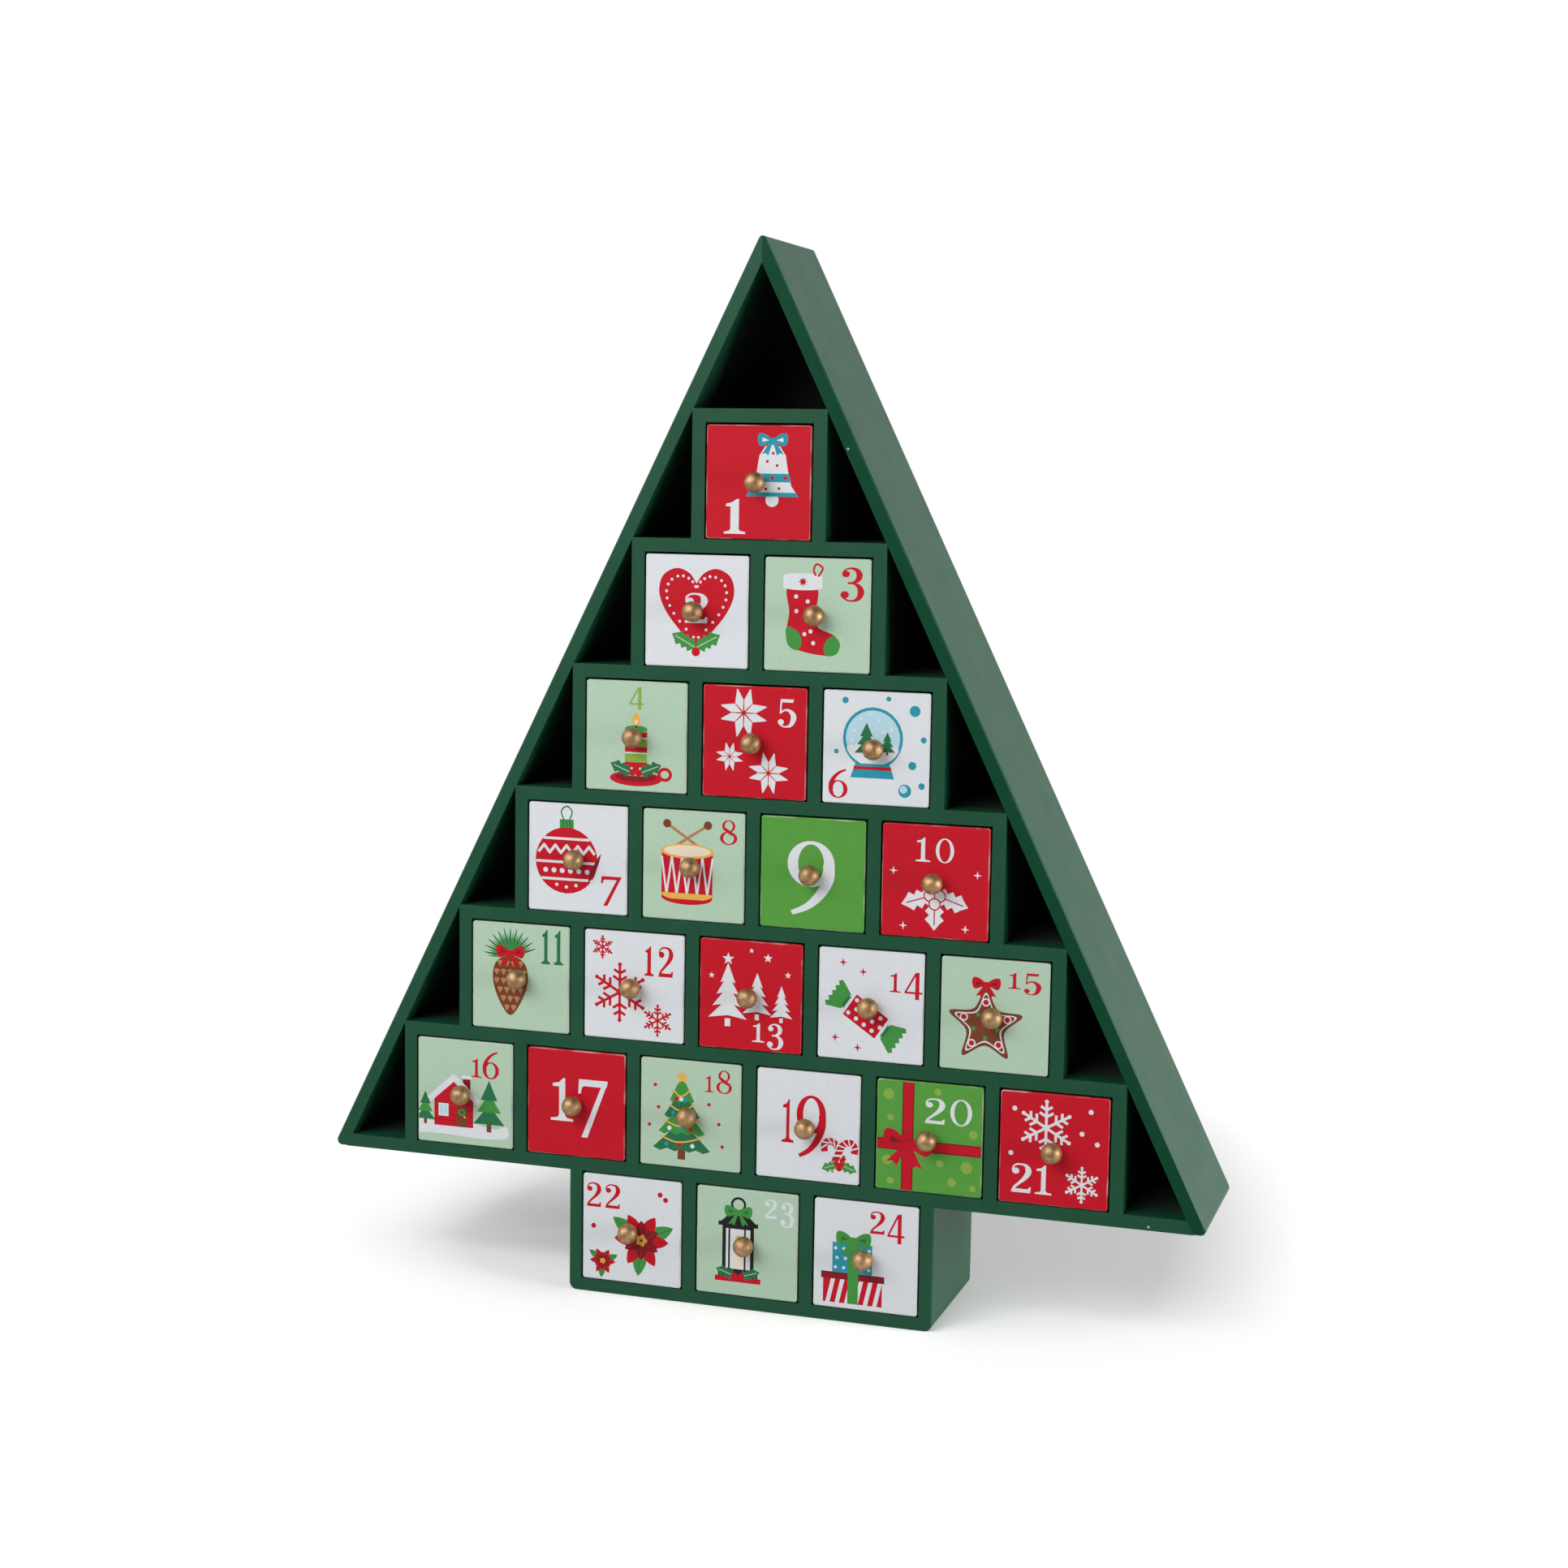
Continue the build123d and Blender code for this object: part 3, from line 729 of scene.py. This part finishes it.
def drawFir(sheet):
    sheet.box("brown", -4.8, -17.4, -1.8, -12.6)
    tiers = ((11.4, -13.4, -3.6), (9.2, -7.0, 2.4), (7.0, -0.8, 8.0), (4.8, 5.2, 12.6))
    for tier, (wide, low, high) in enumerate(tiers):
        scallop = [(-3.3 + wide * (1 - k / 4), low + (0.0 if k % 2 == 0 else -1.1)) for k in range(9)]
        sheet.fill("green" if tier % 2 else "darkGreen", scallop + [(-3.3 - 1.2, high), (-3.3 + 1.2, high)])
    for wide, low in ((8.6, -10.4), (7.0, -4.2), (5.0, 1.8), (3.2, 7.2)):
        sheet.stroke("gold", [(-3.3 - wide, low + 1.6, 0.6), (-3.3 - wide * 0.3, low - 0.4, 0.6),
                              (-3.3 + wide * 0.4, low + 0.4, 0.6), (-3.3 + wide, low + 2.4, 0.6)])
        for k, share in enumerate((-0.7, -0.1, 0.5)):
            sheet.dot(("red", "white", "teal")[(k + int(wide)) % 3], -3.3 + wide * share, low - 1.5, 0.85)
    sheet.star("gold", -3.3, 14.0, 3.0, 1.25, 5)
    sheet.dots("red", 0.7, (-14.0, 10.4), (-12.6, 2.0), (-16.2, -5.0), (7.4, 4.6), (11.4, -2.6),
               (12.8, -11.0))


def drawCane(sheet, u, v, size, turn, hand):
    crook = [(0, -9), (0, -4.5), (0, 0), (0, 3), (1.0, 5.4), (3.2, 6.6), (5.4, 5.4), (6.2, 3.0)]
    path = placed(smooth([(hand * x, y) for x, y in crook], steps=8), u, v, size, turn)
    sheet.stroke("red", [(*point, 3.0 * size) for point in path], False)
    for i in range(2, len(path) - 3, 6):
        (x, y), (p, q) = path[i], path[i + 2]
        along = Vector((p - x, q - y)).normalized() * 1.5 * size
        sheet.fill("white", [(x - along.y - along.x, y + along.x - along.y), (x + along.y, y - along.x),
                             (p + along.y, q - along.x), (p - along.y - along.x, q + along.x - along.y)])


def drawCanes(sheet):
    drawCane(sheet, -10.0, 5.6, 0.86, 24, -1)
    drawCane(sheet, -10.6, 5.6, 0.86, -24, 1)
    for turn in (200, 340):
        sheet.holly("green", -10.3, 1.6, 7.2, turn, "paleGreen")
    sheet.dots("red", 1.05, (-11.2, 1.4), (-9.4, 1.4), (-10.3, -0.2))


def drawRibbon(sheet):
    for u, v, radius in ((-15.4, 15.2, 2.0), (-14.6, 6.6, 1.2), (16.4, 2.8, 1.6), (3.0, 17.4, 1.3),
                         (14.2, -9.6, 2.2), (4.2, -9.0, 1.4), (8.8, -15.6, 1.6), (-15.6, -9.4, 1.8),
                         (-14.2, -17.0, 1.3), (16.6, -17.2, 1.2)):
        sheet.dot("olive", u, v, radius)
    sheet.box("red", -10.2, -21, -5.8, 21)
    sheet.box("red", -21, -5.4, 21, -1.2)
    for u in (-10.2, -6.3):
        sheet.box("darkRed", u, -21, u + 0.5, 21)
    for v in (-5.4, -1.7):
        sheet.box("darkRed", -21, v, 21, v + 0.5)
    sheet.bow("red", "darkRed", -8.0, -3.2, 9.0, -8)


def drawPoinsettia(sheet, u, v, radius):
    for turn in (25, 145, 265):
        sheet.petal("green", u, v, radius * 1.28, radius * 0.52, turn)
        sheet.line("darkGreen", 0.3, *placed([(radius * 0.6, 0), (radius * 1.2, 0)], u, v, 1.0, turn))
    layers = ((1.0, 0.46, 0, "red", "darkRed"), (0.70, 0.36, 30, "darkRed", "red"))
    for reach, wide, shift, ink, veinInk in layers:
        for i in range(6):
            turn = shift + 60 * i
            sheet.petal(ink, u, v, radius * reach, radius * wide, turn)
            vein = placed([(radius * 0.2, 0), (radius * reach * 0.82, 0)], u, v, 1.0, turn)
            sheet.line(veinInk, 0.28, *vein)
    for i in range(5):
        sheet.dot("gold", *placed([(radius * 0.13, 0)], u, v, 1.0, 72 * i)[0], radius * 0.085)


def drawPoinsettias(sheet):
    drawPoinsettia(sheet, 4.0, -3.4, 11.0)
    drawPoinsettia(sheet, -11.6, -13.0, 5.2)
    sheet.dots("red", 1.0, (13.6, 13.2), (11.4, 15.0), (-15.4, 0.4))


def drawLantern(sheet):
    sheet.ring("black", -3.4, 14.6, (3.0, 2.9), (2.1, 2.0))
    sheet.fill("black", [(-5.0, 12.6), (-1.8, 12.6), (3.6, 7.6), (-10.4, 7.6)])
    sheet.box("black", -11.2, 6.2, 4.4, 7.8)
    sheet.box("black", -9.6, -11.6, 2.8, 6.4)
    sheet.box("white", -8.2, -10.2, 1.4, 5.2)
    sheet.box("cream", -5.2, -10.2, -1.6, -3.0)
    sheet.blob("gold", [(-3.4, 3.0), (-2.0, 0.0), (-2.6, -2.4), (-4.2, -2.4), (-4.8, 0.0)])
    for u in (-6.9, -0.7):
        sheet.box("black", u - 0.35, -10.2, u + 0.35, 5.2)
    sheet.box("black", -11.2, -13.2, 4.4, -11.4)
    sheet.box("red", -12.4, -15.2, 5.6, -13.2)
    for hand in (1, -1):
        sheet.holly("darkGreen", -3.4 + hand * 1.0, -13.0, 8.0, 90 - hand * 72, "paleGreen")
    for u in (-4.8, -2.0):
        sheet.dot("red", u, -12.9, 1.3)
    sheet.bow("green", "darkGreen", -3.4, 11.4, 5.2)


def drawParcels(sheet):
    sheet.box("red", -13.0, -17.4, 9.6, -6.4)
    for i in range(7):
        u = -13.0 + 3.6 * i
        sheet.fill("white", [(max(-13.0, u - 2.6), -17.4), (min(9.6, u - 1.0), -17.4),
                             (min(9.6, u + 1.0), -8.4), (max(-13.0, u - 0.6), -8.4)])
    sheet.box("darkRed", -13.8, -8.4, 10.4, -5.8)
    sheet.box("green", -3.6, -17.4, 0.4, -5.8)
    sheet.box("teal", -9.6, -5.8, 5.6, 5.6)
    for i in range(5):
        for j in range(3):
            sheet.dot("white", -8.4 + 3.2 * i + (0.6 if j % 2 else 0), -3.9 + 3.6 * j, 0.62)
    sheet.box("green", -3.6, -5.8, 0.4, 5.6)
    sheet.bow("green", "darkGreen", -1.6, 6.6, 6.4)


def drawNothing(sheet):
    pass


def drawNight(sheet):
    drawFlakes("white", (-3.0, 8.0, 9.6), (10.4, -11.6, 6.2))(sheet)
    sheet.dots("white", 0.9, (-14.6, 14.2), (13.0, 15.2), (15.6, 3.6), (-15.6, -2.2), (10.0, 7.0))


# One row for each front: ground, motif, and the motif's shift and size where it has any
fronts = {
    1: ("red", drawBell, 1.0, -0.6, 1.08),
    2: ("white", drawHeart, 0, 0.4, 1.25),
    3: ("paleGreen", drawStocking, 0, 0, 1.05),
    4: ("paleGreen", drawCandle, 0, -0.9, 1.1),
    5: ("red", drawStars),
    6: ("white", drawGlobe, 2.2, 0.8),
    7: ("white", drawBauble, 0.3, -0.4, 1.08),
    8: ("paleGreen", drawDrum),
    9: ("brightGreen", drawNothing),
    10: ("red", drawHollyFan),
    11: ("paleGreen", drawCone),
    12: ("white", drawFlakes("red", (-5.6, -2.6, 10.6), (9.6, -12.2, 5.6), (-12.6, 14.2, 4.0))),
    13: ("red", drawPines),
    14: ("white", drawCracker),
    15: ("paleGreen", drawGingerbread),
    16: ("paleGreen", drawCabin, -1.5, -2.2),
    17: ("red", drawNothing),
    18: ("paleGreen", drawFir),
    19: ("white", drawCanes, 22.6, -14.5),
    20: ("brightGreen", drawRibbon),
    21: ("red", drawNight),
    22: ("white", drawPoinsettias),
    23: ("paleGreen", drawLantern),
    24: ("white", drawParcels, -3.0, -1.0)}
numbers = {      # ink, then each numeral as (left, low, wide, high)
    1: ("white", (-12.8, -18.6, 8.1, 12.5)),
    2: ("white", (-4.4, -4.3, 8.8, 10.9)),
    3: ("red", (8.6, 5.2, 8.9, 12.3)),
    4: ("olive", (-2.8, 10.0, 5.8, 8.3)),
    5: ("white", (8.9, 6.0, 7.0, 10.3)),
    6: ("red", (-17.5, -18.6, 7.2, 10.7)),
    7: ("red", (9.5, -17.2, 8.1, 11.2)),
    8: ("red", (10.3, 8.7, 6.7, 9.2)),
    9: ("white", (-9.5, -15.4, 18.0, 27.5)),
    10: ("white", (-7.4, 7.2, 5.4, 8.7), (0.0, 7.1, 6.7, 8.9)),
    11: ("darkGreen", (8.6, 5.8, 3.5, 13.2), (13.7, 5.8, 3.7, 13.2)),
    12: ("red", (4.2, 4.5, 3.7, 11.2), (9.8, 4.5, 5.8, 11.4)),
    13: ("white", (0.9, -17.0, 4.7, 7.1), (6.7, -19.4, 6.3, 9.8)),
    14: ("red", (7.0, 5.8, 4.2, 7.1), (12.6, 3.6, 6.7, 10.0)),
    15: ("red", (4.7, 10.5, 4.6, 5.8), (10.5, 8.7, 6.3, 7.8)),
    16: ("red", (2.6, 6.5, 4.4, 7.4), (7.4, 6.3, 6.8, 10.9)),
    17: ("white", (-10.2, -7.1, 9.1, 16.6), (0.9, -12.7, 11.9, 22.4)),
    18: ("red", (5.8, 9.4, 3.3, 6.3), (10.2, 9.2, 6.1, 8.9)),
    19: ("red", (-10.0, -6.7, 4.6, 16.3), (-4.4, -11.9, 11.4, 23.7)),
    20: ("white", (-1.6, 5.6, 7.4, 9.4), (7.7, 5.6, 8.1, 9.8)),
    21: ("white", (-15.1, -16.5, 7.2, 10.7), (-6.5, -16.5, 6.1, 10.7)),
    22: ("red", (-18.2, 7.8, 5.8, 9.4), (-10.7, 7.8, 6.0, 9.4)),
    23: ("white", (7.0, 10.7, 4.6, 7.1), (13.1, 7.8, 5.3, 9.6)),
    24: ("red", (1.6, 9.2, 5.6, 8.5), (8.2, 6.3, 6.5, 11.2))}
heavyOnes = (1, 11, 12)      # fronts whose ones are drawn with a thicker stem

# Printed faces, lengths in mm
printSet = dict(halfWide=19.42, halfTall=20.06, corner=0.7, thick=0.08, weld=1e-4, paintedDepth=5.05)


def printOutline():
    wide, tall, radius = printSet["halfWide"], printSet["halfTall"], printSet["corner"]
    points = []
    for corner, (a, b) in enumerate(((1, 1), (-1, 1), (-1, -1), (1, -1))):
        for step in range(4):
            angle = math.radians(90 * corner + 30 * step)
            points.append((a * (wide - radius) + radius * math.cos(angle),
                           b * (tall - radius) + radius * math.sin(angle)))
    return points


def meshPrint(name, shapes, centre, surfaceY):
    corners, faces = [], []
    for ink, points in shapes:
        faces.append(list(range(len(corners), len(corners) + len(points))))
        corners += [Vector(point) for point in points]
    insideOnly = 1      # leaves out what no shape covers
    spots, _, pieces, _, _, owners = delaunay_2d_cdt(corners, [], faces, insideOnly, printSet["weld"], True)
    mesh = bpy.data.meshes.new(name)
    used = []
    build = bmesh.new()
    faceY = surfaceY - printSet["thick"] * mm
    grid = [build.verts.new((centre[0] + p.x * mm, faceY, centre[1] + p.y * mm)) for p in spots]
    for piece, owner in zip(pieces, owners):
        if 0 not in owner:
            continue
        ink = shapes[max(owner)][0]
        if ink not in used:
            used.append(ink)
        build.faces.new([grid[i] for i in piece]).material_index = used.index(ink)
    bmesh.ops.delete(build, geom=[v for v in build.verts if not v.link_faces], context="VERTS")
    rim = [edge for edge in build.edges if edge.is_boundary]
    made = bmesh.ops.extrude_edge_only(build, edges=rim)["geom"]
    for vert in made:
        if isinstance(vert, bmesh.types.BMVert):
            vert.co.y = surfaceY
    bmesh.ops.holes_fill(build, edges=[edge for edge in build.edges if edge.is_boundary], sides=0)
    bmesh.ops.recalc_face_normals(build, faces=build.faces)
    build.to_mesh(mesh)
    build.free()
    for ink in used:
        mesh.materials.append(inkMaterial[ink])
    return mesh


def dressDrawer(number):
    name = f"drawer_{number:02d}"
    ground, draw, *place = fronts[number]
    ink, *boxes = numbers[number]
    low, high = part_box(name)
    paintedTo = low.y + printSet["paintedDepth"] * mm
    coat(name, lambda node, face: edgeMaterial[ground] if face.center.y < paintedTo else trayMaterial)
    sheet, motif = Sheet(), Sheet()
    sheet.fill(ground, printOutline())
    draw(motif)
    for colour, points in motif.shapes:
        sheet.fill(colour, placed(points, *(place or (0, 0))))
    for digit, box in zip(str(number), boxes):
        heavy = digit == "1" and number in heavyOnes
        drawNumeral(sheet, ink, "heavy 1" if heavy else digit, *box)
    middle = ((low.x + high.x) / 2, (low.z + high.z) / 2)
    title = f"print_{number:02d}"
    piece = addObject(title, meshPrint(title, sheet.shapes, middle, low.y))
    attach(piece, f"drawer_unit_{number:02d}")
    return len(piece.data.polygons)


print("fronts printed,", sum(dressDrawer(number) for number in fronts), "faces")


# Turned brass knobs, lengths in mm
knobSet = dict(ball=3.8, neck=1.7, foot=2.2, footHigh=0.9, footEdge=0.12, spigot=1.25, spigotLong=3.6,
               footTop=((0, 0.3), (0.18, 0.08), (0.4, 0)), rings=26, sides=48, weld=0.002)
brassSet = dict(bright=(0.48, 0.300, 0.152), dull=(0.29, 0.176, 0.090), patina=1.7, patinaSpan=(0.38, 0.66),
                scratch=0.5, stretch=(1, 0.2, 1), roughness=(0.50, 0.58), gloss=0.5, relief=0.03,
                metallic=1.0)


def agedBrass():
    made, tree = newMaterial("aged_brass")
    patina = remap(tree, speckle(tree, brassSet["patina"], 4.0), *brassSet["patinaSpan"])
    scratch = speckle(tree, brassSet["scratch"], 3.0, brassSet["stretch"])
    colour = blend(tree, patina, brassSet["bright"], brassSet["dull"])
    return finish(made, brassSet, colour, remap(tree, scratch, *noiseSpan, *brassSet["roughness"]), scratch)


def knobProfile():      # (radius, distance before the front face), from the spigot's end to the ball's pole
    ball, neck, foot, high = [knobSet[key] for key in ("ball", "neck", "foot", "footHigh")]
    spigot, depth, edge, rings = [knobSet[key] for key in ("spigot", "spigotLong", "footEdge", "rings")]
    start = math.asin(neck / ball)
    centre = high + ball * math.cos(start)
    profile = [(0, -depth), (spigot, -depth), (spigot, 0), (foot - edge, 0), (foot, edge)]
    profile += [(foot - inward, high - down) for inward, down in knobSet["footTop"]]
    turns = [start + (math.pi - start) * i / rings for i in range(rings)]
    profile += [(ball * math.sin(turn), centre - ball * math.cos(turn)) for turn in turns]
    return profile + [(0, centre + ball)]


def meshKnob(name, place):
    build = bmesh.new()
    x, y, z = place
    profile = [build.verts.new((x + radius * mm, y - out * mm, z)) for radius, out in knobProfile()]
    edges = [build.edges.new(pair) for pair in zip(profile, profile[1:])]
    bmesh.ops.spin(build, geom=profile + edges, cent=place, axis=(0, 1, 0), angle=2 * math.pi,
                   steps=knobSet["sides"], use_merge=True, use_duplicate=False)
    bmesh.ops.remove_doubles(build, verts=build.verts, dist=knobSet["weld"] * mm)
    bmesh.ops.recalc_face_normals(build, faces=build.faces)
    mesh = bpy.data.meshes.new(name)
    build.to_mesh(mesh)
    build.free()
    for face in mesh.polygons:
        face.use_smooth = True
    return mesh


brass = agedBrass()
for number in fronts:
    low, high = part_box(f"drawer_{number:02d}")
    place = Vector(((low.x + high.x) / 2, low.y, (low.z + high.z) / 2))
    name = f"turned_knob_{number:02d}"
    knob = addObject(name, meshKnob(name, place))
    knob.data.materials.append(brass)
    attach(knob, f"drawer_unit_{number:02d}")
    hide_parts(f"knob_{number:02d}")
print("knobs turned")


# Floor, world and lamps, lengths in metres
floorSet = dict(half=6.0, paper=0.60, seenPaper=0.97, lift=0.19, fadeMiddle=0.035, fadeAhead=1.7,
                fadeBehind=0.5, fadeFrom=0.14, fadeTo=0.193, mirrorFrom=-0.25, mirrorTo=0.05)
worldSet = dict(ambient=0.17, front=0.02, left=0.80, behind=0.80,
                turnLeft=(-0.18, -0.45), turnBack=(-0.15, 0.45))
lampSet = dict(
    front=dict(place=(-0.36, -1.20, 1.05), aim=(0, 0, 0.15), size=(0.9, 0.8), power=12.5),
    left=dict(place=(-0.80, -0.70, 0.70), aim=(0, 0, 0.15), size=(0.7, 0.7), power=5.0),
    right=dict(place=(1.25, -0.05, 0.25), aim=(0, 0, 0.20), size=(0.9, 0.4), power=16.5))


def directRay(tree, path):
    return maths(tree, "MAXIMUM", path["Is Camera Ray"], path["Is Transmission Ray"])


def floorPaper():      # shadowed paper near the object, plain white further off
    made, tree = newMaterial("floor_paper")
    tree.nodes.clear()
    path = addNode(tree, "LightPath").outputs
    part = addNode(tree, "SeparateXYZ", {0: addNode(tree, "TexCoord").outputs["Object"]}).outputs
    behind = remap(tree, part["Y"], floorSet["mirrorFrom"], floorSet["mirrorTo"])
    mirrored = maths(tree, "MULTIPLY", path["Is Glossy Ray"], behind)
    seen = maths(tree, "MAXIMUM", directRay(tree, path), mirrored)
    shade = remap(tree, seen, 0.0, 1.0, floorSet["paper"], floorSet["seenPaper"])
    paper = addNode(tree, "BsdfDiffuse", {"Color": shade})
    lift = addNode(tree, "Emission", {"Strength": maths(tree, "MULTIPLY", seen, floorSet["lift"])})
    near = addNode(tree, "AddShader", {0: paper.outputs[0], 1: lift.outputs[0]})
    white = addNode(tree, "Emission", {"Strength": 1.0})
    back = maths(tree, "SUBTRACT", part["Y"], floorSet["fadeMiddle"])
    deep = maths(tree, "MAXIMUM", maths(tree, "MULTIPLY", back, -floorSet["fadeAhead"]),
                 maths(tree, "MULTIPLY", back, floorSet["fadeBehind"]))
    away = addNode(tree, "CombineXYZ", {"X": part["X"], "Y": deep}).outputs[0]
    away = addNode(tree, "VectorMath", {0: away}, operation="LENGTH").outputs["Value"]
    share = maths(tree, "MULTIPLY", seen, remap(tree, away, floorSet["fadeFrom"], floorSet["fadeTo"]))
    mixed = addNode(tree, "MixShader", {0: share, 1: near.outputs[0], 2: white.outputs[0]})
    addNode(tree, "OutputMaterial", {"Surface": mixed.outputs[0]})
    return made


def makeFloor():
    mesh = bpy.data.meshes.new("floor")
    half = floorSet["half"]
    corners = [(-half, -half, 0), (half, -half, 0), (half, half, 0), (-half, half, 0)]
    mesh.from_pydata(corners, [], [(0, 1, 2, 3)])
    mesh.materials.append(floorPaper())
    floor = addObject("floor", mesh)


def makeWorld():      # even light, but mirrored brighter from the left and from behind
    scene.world = bpy.data.worlds.new("studio")
    scene.world.use_nodes = True
    tree = scene.world.node_tree
    path = addNode(tree, "LightPath").outputs
    way = addNode(tree, "SeparateXYZ", {0: addNode(tree, "TexCoord").outputs["Generated"]}).outputs
    before = remap(tree, way["X"], *worldSet["turnLeft"], worldSet["front"], worldSet["left"])
    mirrored = remap(tree, way["Y"], *worldSet["turnBack"], before, worldSet["behind"])
    extra = maths(tree, "SUBTRACT", mirrored, worldSet["ambient"])
    level = maths(tree, "MULTIPLY", path["Is Glossy Ray"], extra)
    level = maths(tree, "ADD", level, worldSet["ambient"])
    backdrop = tree.nodes["Background"].inputs
    tree.links.new(maths(tree, "MAXIMUM", level, directRay(tree, path)), backdrop["Strength"])
    backdrop["Color"].default_value = (1, 1, 1, 1)


def hangLamps():
    for name, lamp in lampSet.items():
        data = bpy.data.lights.new(name, "AREA")
        data.shape = "RECTANGLE"
        data.size, data.size_y = lamp["size"]
        data.energy = lamp["power"]
        aim = Vector(lamp["aim"]) - Vector(lamp["place"])
        facing = aim.to_track_quat("-Z", "Y").to_matrix().to_4x4()
        addObject(name, data).matrix_world = Matrix.Translation(lamp["place"]) @ facing


makeFloor()
makeWorld()
hangLamps()
print("studio lit")
